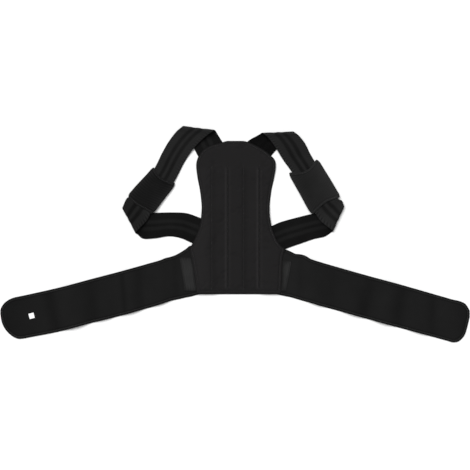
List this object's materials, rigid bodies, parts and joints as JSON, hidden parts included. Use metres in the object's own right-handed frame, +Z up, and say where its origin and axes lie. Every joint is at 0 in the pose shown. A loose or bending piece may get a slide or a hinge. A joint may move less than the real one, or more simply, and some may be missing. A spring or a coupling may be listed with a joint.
{
  "type": "posture corrector",
  "caption": "Back brace lying flat: padded panel with a domed top, folded webbing shoulder loops with sleeves, and two belt wings with round ends.",
  "frame": {"origin": "middle of the whole brace in plan, on the surface that it lies on", "axes": "+X from the left wing's end to the right wing's end, +Y from the panel's foot to its dome, +Z up out of the inner side"},
  "size_m": [0.94, 0.4325, 0.014],
  "materials": {
    "panel_cloth": "matt black padded cloth",
    "wing_cloth": "matt black belt cloth",
    "joint_tape": "shiny grey-black tape",
    "webbing": "ribbed black elastic webbing",
    "sleeve_knit": "fine ribbed black knit",
    "label_cloth": "plain white woven label"
  },
  "bodies": {
    "root": {"back_panel": "panel_cloth", "left_wing": "wing_cloth", "right_wing": "wing_cloth", "left_joint_tape": "joint_tape", "right_joint_tape": "joint_tape", "left_shoulder_strap": "webbing", "right_shoulder_strap": "webbing", "left_strap_sleeve": "sleeve_knit", "right_strap_sleeve": "sleeve_knit", "size_label": "label_cloth"}
  },
  "joints": []
}
